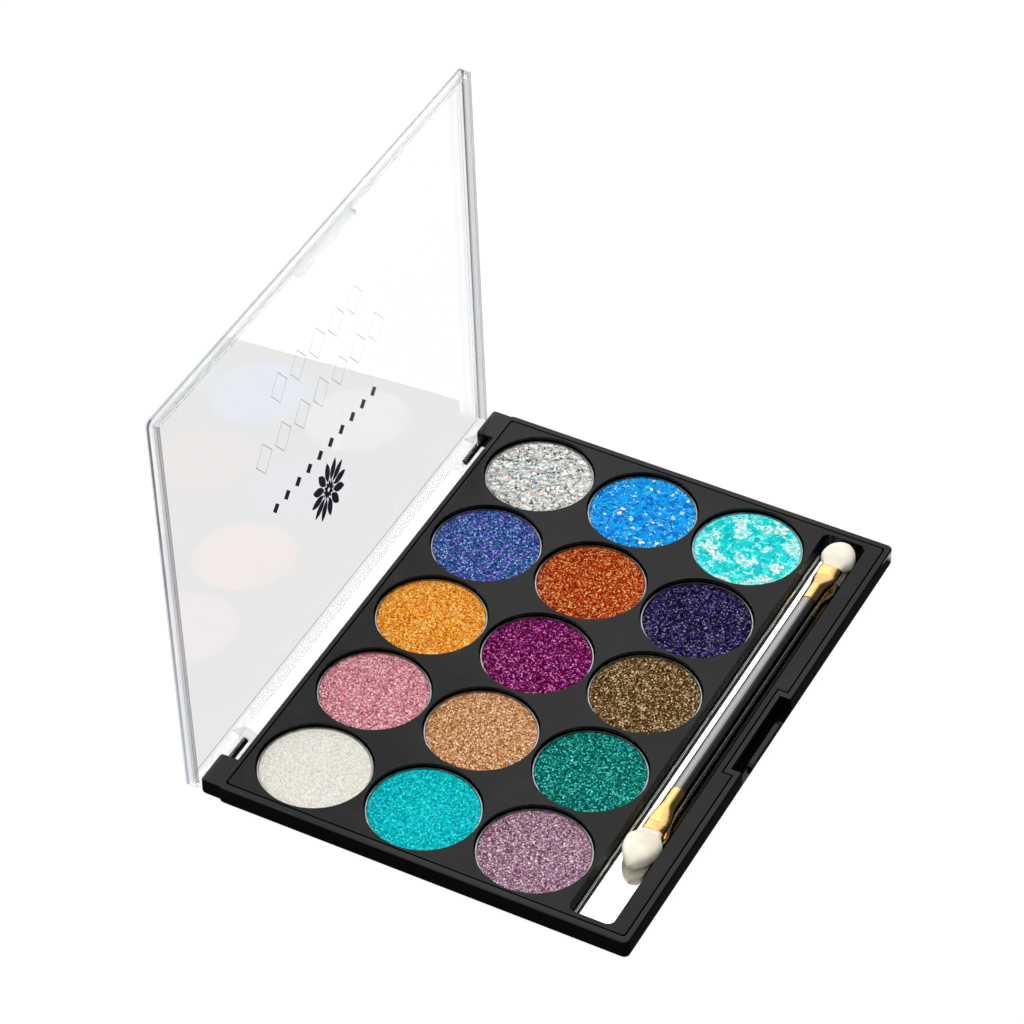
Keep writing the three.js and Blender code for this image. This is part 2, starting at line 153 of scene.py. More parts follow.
# ------------------------------------------------------------------ plastics and metals
def black_plastic():
    """Polished black moulding: a faint flow pattern in the gloss and a little dust."""
    shader = Shader("black_plastic")
    shader.set(IOR=1.5, Specular_IOR_Level=0.28)
    base = shader.ramp(shader.noise(60.0), [(0.3, srgb(3, 3, 4)), (0.7, srgb(8, 8, 9))])
    shader.feed(base, "Base Color")
    shader.feed(shader.span(shader.noise(90.0), 0.07, 0.14), "Roughness")
    shader.bump(shader.noise(900.0, detail=2.0), 0.06, 0.02 * MM)
    return shader.material


def black_tray_plastic():
    """The insert is the same black with a softer sheen and faint smears of powder dust."""
    shader = Shader("black_tray_plastic")
    shader.set(IOR=1.5, Specular_IOR_Level=0.22)
    smear = shader.noise(110.0, detail=6.0, roughness=0.65)
    base = shader.ramp(smear, [(0.42, srgb(2, 2, 2)), (0.6, srgb(14, 14, 13)), (0.75, srgb(30, 29, 28))])
    shader.feed(base, "Base Color")
    shader.feed(shader.span(smear, 0.12, 0.3), "Roughness")
    shader.bump(shader.noise(420.0, detail=3.0), 0.08, 0.03 * MM)
    return shader.material


def handle_plastic():
    """The applicator's handle: a harder black lacquer that mirrors the white tent."""
    shader = Shader("handle_plastic")
    shader.set(IOR=2.3, Specular_IOR_Level=1.0)
    base = shader.ramp(shader.noise(200.0), [(0.3, srgb(3, 3, 3)), (0.7, srgb(9, 9, 9))])
    shader.feed(base, "Base Color")
    shader.feed(shader.span(shader.noise(300.0), 0.1, 0.18), "Roughness")
    return shader.material


def clear_plastic(name, alpha, tint):
    """Clear polystyrene with faint flow haze. Lamp light passes through it."""
    shader = Shader(name)
    shader.set(IOR=1.49, Transmission_Weight=1.0, Base_Color=tint, Alpha=alpha)
    shader.feed(shader.span(shader.noise(30.0), 0.0, 0.006), "Roughness")
    shader.bump(shader.noise(40.0, detail=0.0), 0.02, 0.01 * MM)
    clear = shader.add("ShaderNodeBsdfTransparent")
    path = shader.add("ShaderNodeLightPath")
    mixer = shader.add("ShaderNodeMixShader")
    shader.link(path.outputs["Is Shadow Ray"], mixer.inputs["Fac"])
    shader.link(shader.principled.outputs["BSDF"], mixer.inputs[1])
    shader.link(clear.outputs["BSDF"], mixer.inputs[2])
    shader.link(mixer.outputs["Shader"], shader.output.inputs["Surface"])
    return shader.material


LID_FOOT = 9 * MM


def dress_lid(node):
    """The plate and its foot are nearly invisible; the raised walls and edges get a greyer, less clear
    copy of the same plastic, a painted grey standing in for their reflections and refraction.
    """
    use_material([node], clear_plastic("clear_plastic_plate", 0.15, srgb(92, 94, 95)))
    # Painted reflection: the walls' extra grey stands in for what their refraction and reflections show.
    walls = clear_plastic("clear_plastic_walls", 0.42, srgb(214, 219, 226))
    mesh = NODES[node].data
    mesh.materials.append(walls)
    across_plate = Matrix.Rotation(LID_OPEN, 3, "X") @ Vector((0, 0, 1))
    for polygon in mesh.polygons:
        raised = polygon.center.z > LID_FOOT
        if raised and abs(polygon.normal.dot(across_plate)) < 0.98:
            polygon.material_index = 1


# Under the handle the film's front margin is painted dark, a painted shade line between the handle's
# reflection and the wall; it stays bright at the near end.
FILM_SHADE_Y = (-43.5 * MM, -43.3 * MM)
FILM_SHADE_X = (-50 * MM, -48 * MM)


def mirror_film():
    shader = Shader("mirror_film")
    shader.set(Metallic=1.0)
    tone = shader.ramp(shader.noise(25.0), [(0.3, srgb(246, 247, 245)), (0.7, srgb(254, 254, 252))])
    split = shader.add("ShaderNodeSeparateXYZ")
    shader.link(shader.coordinates, split.inputs["Vector"])
    bright = shader.add("ShaderNodeMath", operation="MAXIMUM")
    for slot, axis, span, values in ((0, "Y", FILM_SHADE_Y, (0.0, 1.0)),
                                     (1, "X", FILM_SHADE_X, (1.0, 0.0))):
        edge = shader.add("ShaderNodeMapRange")
        set_span(edge, span, values)
        shader.link(split.outputs[axis], edge.inputs["Value"])
        shader.link(edge.outputs["Result"], bright.inputs[slot])
    # Painted shade: the film's colour turns near black along its front margin under the handle.
    tone = shader.mix(bright.outputs["Value"], srgb(10, 10, 10), tone)
    shader.feed(tone, "Base Color")
    shader.feed(shader.span(shader.noise(140.0), 0.04, 0.09), "Roughness")
    shader.bump(shader.noise(60.0, detail=1.0), 0.05, 0.05 * MM)
    return shader.material


def tinplate():
    shader = Shader("tinplate")
    shader.set(Metallic=1.0)
    tone = shader.ramp(shader.noise(500.0), [(0.3, srgb(138, 142, 144)), (0.7, srgb(196, 198, 198))])
    shader.feed(tone, "Base Color")
    shader.feed(shader.span(shader.noise(900.0), 0.22, 0.38), "Roughness")
    return shader.material


def gold():
    """Anodised gold with fine lengthwise draw lines."""
    shader = Shader("gold")
    shader.set(Metallic=1.0)
    stretch = shader.add("ShaderNodeMapping")
    stretch.inputs["Scale"].default_value = (120.0, 4000.0, 4000.0)
    shader.link(shader.coordinates, stretch.inputs["Vector"])
    lines = shader.noise(1.0, detail=2.0, coordinates=stretch.outputs["Vector"])
    tone = shader.ramp(lines, [(0.25, srgb(244, 184, 100)), (0.75, srgb(255, 222, 158))])
    shader.feed(tone, "Base Color")
    shader.feed(shader.span(lines, 0.1, 0.22), "Roughness")
    shader.bump(lines, 0.08, 0.02 * MM)
    return shader.material


def foam():
    """Cream cosmetic foam: fine closed skin, tiny pores and a soft glow."""
    shader = Shader("cream_foam")
    shader.set(Roughness=0.9, Subsurface_Weight=0.25, Subsurface_Scale=0.6 * MM)
    shader.set(Subsurface_Radius=(1.0, 0.8, 0.6), Sheen_Weight=0.15, Specular_IOR_Level=0.2)
    tone = shader.ramp(shader.noise(260.0, detail=4.0),
                       [(0.3, srgb(236, 227, 205)), (0.7, srgb(250, 244, 230))])
    shader.feed(tone, "Base Color")
    pores = shader.voronoi(4200.0).outputs["Distance"]
    grain = shader.noise(3000.0, detail=2.0)
    shader.bump(shader.mix(0.5, pores, grain), 0.35, 0.06 * MM)
    return shader.material


def ink(name, low, high):
    """A printed or foil film with a little unevenness."""
    shader = Shader(name)
    shader.feed(shader.ramp(shader.noise(300.0), [(0.3, low), (0.7, high)]), "Base Color")
    shader.feed(shader.span(shader.noise(700.0), 0.3, 0.5), "Roughness")
    return shader.material


# ------------------------------------------------------------------ powders
# Colour of each powder on its darkest flakes (their own colour with painted shade), over most of its
# face, and on its brightest flakes (their own colour with painted glint).
POWDER_COLOURS = {
    "pearl_white": ((205, 200, 190), (230, 225, 215), (245, 245, 235)),
    "soft_pink": ((135, 50, 60), (205, 130, 140), (255, 240, 245)),
    "golden_orange": ((170, 55, 0), (235, 145, 30), (250, 235, 160)),
    "violet_blue": ((5, 25, 75), (40, 75, 140), (200, 235, 255)),
    "silver_flake": ((60, 60, 55), (210, 210, 205), (255, 255, 250)),
    "turquoise": ((0, 125, 135), (0, 180, 190), (60, 240, 235)),
    "rose_gold": ((105, 50, 10), (195, 135, 85), (255, 240, 210)),
    "magenta_plum": ((30, 0, 10), (95, 0, 60), (250, 150, 220)),
    "copper_orange": ((95, 0, 0), (165, 50, 0), (255, 205, 140)),
    "bright_blue": ((0, 60, 150), (0, 160, 240), (220, 255, 255)),
    "mauve_lilac": ((75, 40, 60), (145, 105, 125), (250, 240, 250)),
    "emerald_teal": ((0, 40, 35), (0, 100, 90), (105, 245, 240)),
    "bronze_brown": ((25, 10, 0), (90, 60, 25), (240, 220, 180)),
    "midnight_navy": ((0, 0, 10), (20, 20, 50), (160, 155, 190)),
    "aqua_flake": ((0, 180, 180), (95, 250, 250), (255, 255, 255)),
}
# Share of the flakes darker than the powder's main colour, and how fast the tone leaves it
# on the dark side and on the bright side.
MAIN_SHARE = 0.5
DARK_CURVE = 0.8
BRIGHT_CURVE = 2.2

# Shares at which the tone is worked out, flake size in mm and how much the flakes lean.
TONE_STOPS = (0.0, 0.22, 0.5, 0.76, 0.93, 1.0)
FLAKE_SIZE = {"pearl_white": 0.3, "turquoise": 0.34}
USUAL_FLAKE = 0.3
LEAN = {"pearl_white": 0.1, "turquoise": 0.25}
USUAL_LEAN = 0.4
# Flakes of another hue among the rest: (share of flakes, strength, hue).
TINTS = {
    "violet_blue": [(0.34, 0.8, (104, 40, 190)), (0.2, 0.7, (20, 150, 190))],
    "midnight_navy": [(0.4, 0.8, (70, 30, 160)), (0.1, 0.6, (120, 90, 160))],
    "magenta_plum": [(0.25, 0.5, (190, 20, 140)), (0.1, 0.5, (110, 20, 150))],
    "mauve_lilac": [(0.2, 0.5, (190, 110, 170)), (0.15, 0.5, (170, 140, 130))],
    "soft_pink": [(0.2, 0.5, (220, 110, 150)), (0.1, 0.4, (230, 170, 140))],
    "emerald_teal": [(0.2, 0.5, (0, 150, 90)), (0.15, 0.5, (0, 130, 150))],
    "turquoise": [(0.12, 0.5, (0, 150, 200)), (0.08, 0.5, (60, 190, 130))],
    "pearl_white": [(0.15, 0.35, (240, 210, 190)), (0.15, 0.35, (200, 225, 230))],
    "silver_flake": [(0.12, 0.4, (220, 180, 160)), (0.12, 0.4, (150, 190, 200))],
}


def powder_tone(name, share):
    """The 8-bit colour of a flake that is brighter than this share of the powder's flakes."""
    # The darkest tone carries painted shade and the brightest a painted glint, both put on random
    # flakes.
    darkest_with_shade, main, brightest_with_glint = POWDER_COLOURS[name]
    if share < MAIN_SHARE:
        start, end, weight = darkest_with_shade, main, (share / MAIN_SHARE) ** DARK_CURVE
    else:
        start, end, weight = main, brightest_with_glint, ((share - MAIN_SHARE) / (1 - MAIN_SHARE)) ** BRIGHT_CURVE
    return [low + (high - low) * weight for low, high in zip(start, end)]


def powder_material(name):
    """Pressed glitter: each cell of a fine pattern is one flake with its own tone and tilt."""
    shader = Shader("powder_" + name)
    cells = shader.voronoi(1.0 / (FLAKE_SIZE.get(name, USUAL_FLAKE) * MM))
    split = shader.add("ShaderNodeSeparateColor")
    shader.link(cells.outputs["Color"], split.inputs["Color"])
    clumps = shader.span(shader.noise(1300.0, detail=2.0), -0.25, 0.25)
    total = shader.add("ShaderNodeMath", operation="ADD", use_clamp=True)
    shader.link(split.outputs["Red"], total.inputs[0])
    shader.link(clumps, total.inputs[1])
    stops = [(share, srgb(*powder_tone(name, share))) for share in TONE_STOPS]
    tone = shader.ramp(total.outputs["Value"], stops)
    taken = 0.0
    for share, strength, hue in TINTS.get(name, []):
        chosen = shader.ramp(split.outputs["Green"], [
            (0.0, (0, 0, 0, 1)), (taken, (strength, strength, strength, 1)),
            (taken + share, (0, 0, 0, 1))], interpolation="CONSTANT")
        tone = shader.mix(chosen, tone, srgb(*hue), blend="COLOR")
        taken += share
    shader.feed(tone, "Base Color")
    shader.feed(shader.span(split.outputs["Blue"], 0.3, 0.6), "Roughness")
    metal = shader.ramp(split.outputs["Red"], [(0.75, (0, 0, 0, 1)), (1.0, (0.6, 0.6, 0.6, 1))])
    shader.feed(metal, "Metallic")
    shader.set(IOR=1.06)
    tilt_flakes(shader, cells, LEAN.get(name, USUAL_LEAN))
    return shader.material


def tilt_flakes(shader, cells, amount):
    """Leans the normal of each flake its own way, so that each one catches other light."""
    centred = shader.add("ShaderNodeVectorMath", operation="SUBTRACT")
    shader.link(cells.outputs["Color"], centred.inputs[0])
    centred.inputs[1].default_value = (0.5, 0.5, 0.5)
    scaled = shader.add("ShaderNodeVectorMath", operation="SCALE")
    shader.link(centred.outputs["Vector"], scaled.inputs[0])
    scaled.inputs["Scale"].default_value = amount
    surface = shader.add("ShaderNodeNewGeometry")
    leaned = shader.add("ShaderNodeVectorMath", operation="ADD")
    shader.link(surface.outputs["Normal"], leaned.inputs[0])
    shader.link(scaled.outputs["Vector"], leaned.inputs[1])
    unit = shader.add("ShaderNodeVectorMath", operation="NORMALIZE")
    shader.link(leaned.outputs["Vector"], unit.inputs[0])
    shader.feed(unit.outputs["Vector"], "Normal")


# ------------------------------------------------------------------ mesh helpers
def new_piece(name, mesh, material, body, smooth=False):
    piece = bpy.data.objects.new(name, mesh)
    bpy.context.scene.collection.objects.link(piece)
    mesh.materials.append(material)
    for polygon in mesh.polygons:
        polygon.use_smooth = smooth
    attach(piece, body)
    return piece


def mesh_from(name, verts, faces):
    mesh = bpy.data.meshes.new(name)
    mesh.from_pydata(verts, [], faces)
    mesh.validate()
    mesh.update()
    return mesh


def use_material(node_names, material):
    for name in node_names:
        slots = NODES[name].material_slots
        for slot in slots:
            slot.material = material
        if not slots:
            NODES[name].data.materials.append(material)


def ring_loft(rings, closed_ends=True):
    """Quads between rings of equal point count, with a fan on each end."""
    count = len(rings[0])
    verts = [point for ring in rings for point in ring]
    faces = []
    for band in range(len(rings) - 1):
        for k in range(count):
            a = band * count + k
            b = band * count + (k + 1) % count
            faces.append((a, b, b + count, a + count))
    if closed_ends:
        faces.append(tuple(reversed(range(count))))
        last = (len(rings) - 1) * count
        faces.append(tuple(last + k for k in range(count)))
    return verts, faces


# ------------------------------------------------------------------ chunky flakes
# Layers of loose flakes on the chunky powders, lowest first: how many, radius and height
# above the powder in mm, lean, colours with their shares, and, where the flakes keep to
# clusters, the share of the area those cover and their width in mm.
FLAKE_PANS = {
    "silver_flake": [
        dict(count=620, radius=(0.4, 1.15), height=(0.02, 0.09), lean=0.32, cluster=None,
             colours=[((196, 200, 197), 0.4), ((226, 228, 224), 0.3), ((158, 174, 178), 0.16),
                      ((136, 136, 130), 0.14)]),
        dict(count=850, radius=(0.12, 0.46), height=(0.08, 0.12), lean=0.35, cluster=(0.24, 2.6),
             colours=[((30, 32, 28), 0.5), ((84, 86, 80), 0.3), ((150, 120, 102), 0.2)]),
        dict(count=420, radius=(0.25, 0.95), height=(0.1, 0.16), lean=0.28, cluster=None,
             colours=[((252, 253, 248), 0.58), ((252, 230, 218), 0.18), ((200, 228, 232), 0.16),
                      ((236, 196, 176), 0.08)]),
    ],
    "bright_blue": [
        dict(count=650, radius=(0.5, 1.4), height=(0.02, 0.1), lean=0.15, cluster=None,
             colours=[((0, 142, 230), 0.4), ((0, 160, 246), 0.3), ((0, 108, 200), 0.22),
                      ((30, 178, 250), 0.08)]),
        dict(count=560, radius=(0.16, 0.6), height=(0.1, 0.14), lean=0.24, cluster=(0.3, 1.7),
             colours=[((50, 170, 248), 0.5), ((120, 206, 253), 0.32), ((0, 80, 172), 0.18)]),
        dict(count=80, radius=(0.3, 0.85), height=(0.12, 0.16), lean=0.2, cluster=(0.5, 2.8),
             colours=[((216, 250, 255), 0.5), ((150, 222, 255), 0.3), ((236, 220, 248), 0.2)]),
    ],
    "aqua_flake": [
        dict(count=620, radius=(0.5, 1.4), height=(0.02, 0.09), lean=0.13, cluster=None,
             colours=[((14, 206, 208), 0.38), ((32, 218, 216), 0.3), ((0, 186, 190), 0.2),
                      ((86, 230, 226), 0.12)]),
        dict(count=1500, radius=(0.3, 0.95), height=(0.08, 0.13), lean=0.16, cluster=(0.34, 4.4),
             colours=[((196, 247, 240), 0.4), ((124, 238, 232), 0.4), ((246, 253, 246), 0.2)]),
        dict(count=900, radius=(0.2, 0.7), height=(0.12, 0.16), lean=0.16, cluster=(0.16, 4.4),
             colours=[((253, 254, 248), 0.6), ((226, 250, 244), 0.4)]),
    ],
}
FLAKE_METAL = {"silver_flake": 0.4, "bright_blue": 0.2, "aqua_flake": 0.05}


def flake_material(name, colour, metal):
    """One shade of foil flake, with a faintly mottled face."""
    shader = Shader(name)
    light = tuple(min(255, int(part * 1.05 + 5)) for part in colour)
    dark = tuple(int(part * 0.9) for part in colour)
    tone = shader.ramp(shader.noise(1500.0, detail=3.0), [(0.3, srgb(*dark)), (0.7, srgb(*light))])
    shader.feed(tone, "Base Color")
    shader.feed(shader.span(shader.noise(2200.0), 0.25, 0.5), "Roughness")
    shader.set(Metallic=metal, IOR=1.12)
    shader.bump(shader.noise(2500.0), 0.1, 0.03 * MM)
    return shader.material


def flake_outline(source, middle, radius, lean):
    """Corners of one irregular flake that leans a little."""
    spin = Matrix.Rotation(source.uniform(0, math.pi), 3, "Z")
    tilt = Matrix.Rotation(source.gauss(0, lean * 0.5), 3, "X") @ Matrix.Rotation(
        source.gauss(0, lean * 0.5), 3, "Y") @ spin
    corners = source.randint(4, 7)
    stretch = source.uniform(0.5, 1.0)
    outline = []
    for k in range(corners):
        angle = 2 * math.pi * (k + source.uniform(-0.3, 0.3)) / corners
        arm = radius * source.uniform(0.6, 1.15)
        corner = Vector((arm * math.cos(angle), arm * stretch * math.sin(angle), 0))
        outline.append(middle + tilt @ corner)
    return outline


def flake_places(source, centre, reach, count, cluster):
    """Random places in a round pan, thinned to clusters where a layer asks for them."""
    places = []
    for _ in range(count):
        spread = reach * math.sqrt(source.random())
        turn = source.uniform(0, 2 * math.pi)
        places.append(centre + Vector((spread * math.cos(turn), spread * math.sin(turn), 0)))
    if cluster is None:
        return places
    share, width = cluster
    levels = [noise.noise(place / (width * MM)) for place in places]
    limit = sorted(levels)[int((1 - share) * count)]
    return [place for place, level in zip(places, levels) if level > limit]


def flake_pan(name, layers):
    """Irregular foil flakes pressed into the top of a powder, one piece per pan."""
    source = random.Random("flakes " + name)
    low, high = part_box("powder_" + name)
    centre = (low + high) / 2
    centre.z = 0
    verts, faces, slots, materials = [], [], [], []
    for layer in layers:
        reach = (high.x - low.x) / 2 - 0.9 * layer["radius"][1] * MM
        shares = [share for _, share in layer["colours"]]
        base_slot = len(materials)
        for colour, _ in layer["colours"]:
            materials.append(flake_material(f"flake_{name}_{len(materials)}", colour, FLAKE_METAL[name]))
        for place in flake_places(source, centre, reach, layer["count"], layer["cluster"]):
            small, large = layer["radius"]
            radius = MM * (small + (large - small) * source.random() ** 1.5)
            rise = source.uniform(*layer["height"]) * MM
            outline = flake_outline(source, place + Vector((0, 0, high.z + rise)), radius, layer["lean"])
            faces.append(tuple(range(len(verts), len(verts) + len(outline))))
            verts.extend(outline)
            slots.append(base_slot + source.choices(range(len(shares)), shares)[0])
    mesh = mesh_from("flakes_" + name, verts, faces)
    piece = bpy.data.objects.new("flakes_" + name, mesh)
    bpy.context.scene.collection.objects.link(piece)
    for material in materials:
        mesh.materials.append(material)
    for polygon, slot in zip(mesh.polygons, slots):
        polygon.material_index = slot
    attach(piece, "base")
    return piece


# ------------------------------------------------------------------ mirror film
FILM_LIP = 0.28 * MM
FILM_SLOPE_END = 0.6 * MM
FILM_LIP_RISE = 0.15 * MM


def film_rise(inset):
    """Height of the curled edge at a distance from it: a flat lip, a short slope, then flat."""
    if inset >= FILM_SLOPE_END:
        return 0.0
    if inset <= FILM_LIP:
        return 1.0
    t = (FILM_SLOPE_END - inset) / (FILM_SLOPE_END - FILM_LIP)
    return t * t * (3 - 2 * t)


def mirror_piece(material):
    """The film lies flat in the slot and curls up unevenly along its hinge-side edge."""
    low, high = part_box("mirror_strip")
    columns = 240
    insets = [0.0, 0.08, 0.16, 0.22, 0.28, 0.33, 0.38, 0.43, 0.48, 0.53, 0.6, 0.68, 0.8, 1.2, 1.8]
    width = high[1] - low[1]
    insets = [inset * MM for inset in insets] + [width * share for share in (0.3, 0.5, 0.7, 0.85, 1.0)]
    verts = []
    for inset in reversed(insets):
        y = high[1] - inset
        for i in range(columns + 1):
            x = low[0] + (high[0] - low[0]) * i / columns
            wave = noise.noise(Vector((x * 120, 0, 3.0))) + 0.7 * noise.noise(Vector((x * 420, 0, 9.0)))
            lift = FILM_LIP_RISE * (1 + 0.4 * wave) * film_rise(inset * (1 + 0.25 * wave))
            ripple = 0.006 * MM * noise.noise(Vector((x * 60, y * 160, 1.0)))
            verts.append((x, y, high[2] + lift + ripple))
    faces = []
    for j in range(len(insets) - 1):
        for i in range(columns):
            a = j * (columns + 1) + i
            faces.append((a, a + 1, a + columns + 2, a + columns + 1))
    piece = new_piece("mirror_film", mesh_from("mirror_film", verts, faces), material, "base", True)
    body = piece.modifiers.new("film", "SOLIDIFY")
    body.thickness = 0.12 * MM
    body.offset = -1
    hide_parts("mirror_strip")
    return piece


# ------------------------------------------------------------------ applicator ends
RING_POINTS = 48
CRIMP_HALF = 1.2 * MM


def oval(x, y, z, half_y, half_z, power=2.0):
    """A ring of points in the YZ plane; a higher power squares it up."""
    points = []
    for k in range(RING_POINTS):
        angle = 2 * math.pi * k / RING_POINTS
        c, s = math.cos(angle), math.sin(angle)
        across = math.copysign(abs(c) ** (2 / power), c)
        up = math.copysign(abs(s) ** (2 / power), s)
        points.append((x, y + half_y * across, z + half_z * up))
    return points


def ferrule_piece(node, material, side):
    """Round at the handle, crimped oval with a pinched face and a rolled lip at the sponge."""
    low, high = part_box(node)
    handle_x, mouth_x = (high[0], low[0]) if side < 0 else (low[0], high[0])
    y = (low[1] + high[1]) / 2
    z = (low[2] + high[2]) / 2
    round_r = (high[2] - low[2]) / 2
    mouth_half = (high[1] - low[1]) / 2
    stations = []
    steps = 60
    for step in range(steps + 1):
        t = step / steps
        flat = min(1.0, max(0.0, (t - 0.36) / 0.36))
        flat = flat * flat * (3 - 2 * flat)
        groove = math.exp(-(((t - 0.76) / 0.07) ** 2))
        half_y = round_r + (mouth_half - round_r) * flat
        half_z = round_r + (CRIMP_HALF - round_r) * flat
        lip = 0.1 * MM * math.exp(-(((t - 0.95) / 0.04) ** 2))
        stations.append(oval(handle_x + (mouth_x - handle_x) * t, y, z, half_y,
                             (half_z + lip) * (1 - 0.2 * groove), 2.0 + 0.6 * flat))
    wall = 0.28 * MM
    mouth = oval(mouth_x, y, z, mouth_half - wall, CRIMP_HALF - wall, 2.6)
    inner_x = mouth_x + math.copysign(1.5 * MM, handle_x - mouth_x)
    inside = oval(inner_x, y, z, mouth_half - wall, CRIMP_HALF - wall, 2.6)
    verts, faces = ring_loft([*stations, mouth, inside])
    if side < 0:
        faces = [tuple(reversed(face)) for face in faces]
    piece = new_piece(node + "_gold", mesh_from(node, verts, faces), material, "applicator", True)
    piece.modifiers.new("edges", "EDGE_SPLIT").split_angle = math.radians(40)
    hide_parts(node)
    return piece


def sponge_piece(node, material, side):
    """A foam spade: broad flat face, full rounded rim, narrow neck into the ferrule."""
    low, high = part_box(node)
    stem = 3.05 * MM
    neck_x, tip_x = (high[0] - stem, low[0]) if side < 0 else (low[0] + stem, high[0])
    y = (low[1] + high[1]) / 2
    z = (low[2] + high[2]) / 2
    half_y = (high[1] - low[1]) / 2
    half_z = (high[2] - low[2]) / 2
    inward = math.copysign(1.2 * MM, neck_x - tip_x)
    rings = [oval(neck_x + inward, y, z, 2.2 * MM, 0.8 * MM)]
    steps = 44
    for step in range(steps + 1):
        t = step / steps
        along = math.sin(0.5 * math.pi * t) if t > 0 else 0.0
        wide, thick = sponge_swell(along)
        rings.append(oval(neck_x + (tip_x - neck_x) * along, y, z,
                          half_y * wide, half_z * thick, 2.9))
    verts, faces = ring_loft(rings)
    if side < 0:
        faces = [tuple(reversed(face)) for face in faces]
    mesh = mesh_from(node, verts, faces)
    piece = new_piece(node + "_foam", mesh, material, "applicator", True)
    for vertex in mesh.vertices:
        grain = noise.noise(vertex.co * 420) + 0.6 * noise.noise(vertex.co * 1300)
        vertex.co += vertex.normal * 0.035 * MM * (grain - 0.8)
    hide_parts(node)
    return piece


def sponge_swell(t):
    """Half width and half thickness of the sponge as shares of their largest, 0 at the neck."""
    widest, neck, neck_thickness = 0.36, 0.56, 0.4
    if t < widest:
        u = t / widest
        rise = u * u * (3 - 2 * u)
        return neck + (1 - neck) * rise, neck_thickness + (1 - neck_thickness) * rise
    u = (t - widest) / (1 - widest)
    wide = max(0.05, (1 - u ** 2.3) ** 0.78)
    return wide, max(0.2, (1 - u ** 3.2) ** 0.55)


# ------------------------------------------------------------------ lid print
LID_AXIS = Vector((0, 53.7, 2.46)) * MM
LID_OPEN = math.radians(-92.5)
LID_INNER_FACE = 6.9 * MM
PRINT_SHIFT_X = -2.4
PRINT_SHIFT_Y = -2.8


def on_lid(x, y, lift=0.012):
    """A point on the lid's inner face, given on the shut lid, moved to the open rest pose."""
    shut = Vector(((x + PRINT_SHIFT_X) * MM, (y + PRINT_SHIFT_Y) * MM, LID_INNER_FACE - lift * MM))
    return Matrix.Rotation(LID_OPEN, 3, "X") @ (shut - LID_AXIS) + LID_AXIS


def print_piece(name, outlines, material):
    verts, faces = [], []
    for outline in outlines:
        first = len(verts)
        verts.extend(on_lid(x, y) for x, y in outline)
        faces.append(tuple(range(first, first + len(outline))))
    return new_piece(name, mesh_from(name, verts, faces), material, "lid")


def petal(cx, cy, angle, inner, outer, width):
    """One pointed petal of a rosette, as a closed outline."""
    points = []
    for k in range(17):
        t = k / 16
        points.append((inner + (outer - inner) * t, width * math.sin(math.pi * t) ** 0.8))
    points += [(r, -w) for r, w in reversed(points[1:-1])]
    c, s = math.cos(angle), math.sin(angle)
    return [(cx + r * c - w * s, cy + r * s + w * c) for r, w in points]


def diamond(cx, cy, half_x, half_y):
    return [(cx - half_x, cy), (cx, cy - half_y), (cx + half_x, cy), (cx, cy + half_y)]


def hollow_diamond(cx, cy, half_x, half_y, line):
    """The four strips of a diamond outline."""
    outer = diamond(cx, cy, half_x, half_y)
    inner = diamond(cx, cy, half_x - line, half_y - line)
    return [[outer[k], outer[(k + 1) % 4], inner[(k + 1) % 4], inner[k]] for k in range(4)]


def lid_prints():
    black = ink("black_ink", srgb(10, 10, 14), srgb(24, 24, 32))
    pale = ink("pale_ink", srgb(168, 172, 172), srgb(198, 200, 200))
    rosette = [petal(0, 23.4, 2 * math.pi * k / 12, 2.2, 7.8, 1.15) for k in range(12)]
    rosette += [petal(0, 23.4, 2 * math.pi * (k + 0.5) / 12, 0.4, 2.6, 0.42) for k in range(12)]
    row = [diamond(-22.5 + 5 * k, 11.2, 1.5, 1.5) for k in range(10)]
    print_piece("lid_rosette", rosette, black)
    print_piece("lid_row", row, black)
    frames = []
    for k in range(7):
        frames += hollow_diamond(-25.5 + 8.5 * k, -5.5, 3.6, 4.4, 0.22)
    for k in range(5):
        frames += hollow_diamond(-17 + 8.5 * k, -19.5, 3.6, 4.4, 0.22)
    print_piece("lid_frames", frames, pale)


# ------------------------------------------------------------------ lid edges and their painted shade
LID_HALF_X = 69.9
LID_FRONT_Y = -50.2
LID_CORNER = 1.5
LID_REAR_Y = 54.6


def lid_point(x, y, z):
    """A point of the shut lid, in mm, moved to the open rest pose."""
    return Matrix.Rotation(LID_OPEN, 3, "X") @ (Vector((x, y, z)) * MM - LID_AXIS) + LID_AXIS


def lid_edge_path(inset):
    """Down the left side, round the front and back up the right side of the lid's outline."""
    corner = max(0.05, LID_CORNER - inset)
    side = LID_HALF_X - LID_CORNER
    front = LID_FRONT_Y + LID_CORNER
    path = [(-LID_HALF_X + inset, LID_REAR_Y)]
    for centre_x, start in ((-side, 180), (side, 270)):
        for k in range(9):
            angle = math.radians(start + 90 * k / 8)
            path.append((centre_x + corner * math.cos(angle), front + corner * math.sin(angle)))
    path.append((LID_HALF_X - inset, LID_REAR_Y))
    return path


def painted_edge_strip(name, first, second, side_material, front_material):
    """A narrow strip between two insets and heights, painted with the shade that refraction gives the
    clear edge.
    """
    (inset_a, z_a), (inset_b, z_b) = first, second
    path_a, path_b = lid_edge_path(inset_a), lid_edge_path(inset_b)
    verts = [lid_point(x, y, z_a) for x, y in path_a] + [lid_point(x, y, z_b) for x, y in path_b]
    count = len(path_a)
    faces = [(k, k + 1, count + k + 1, count + k) for k in range(count - 1)]
    piece = new_piece(name, mesh_from(name, verts, faces), side_material, "lid")
    piece.data.materials.append(front_material)
    for k, polygon in enumerate(piece.data.polygons):
        polygon.material_index = 1 if k == count // 2 - 1 else 0


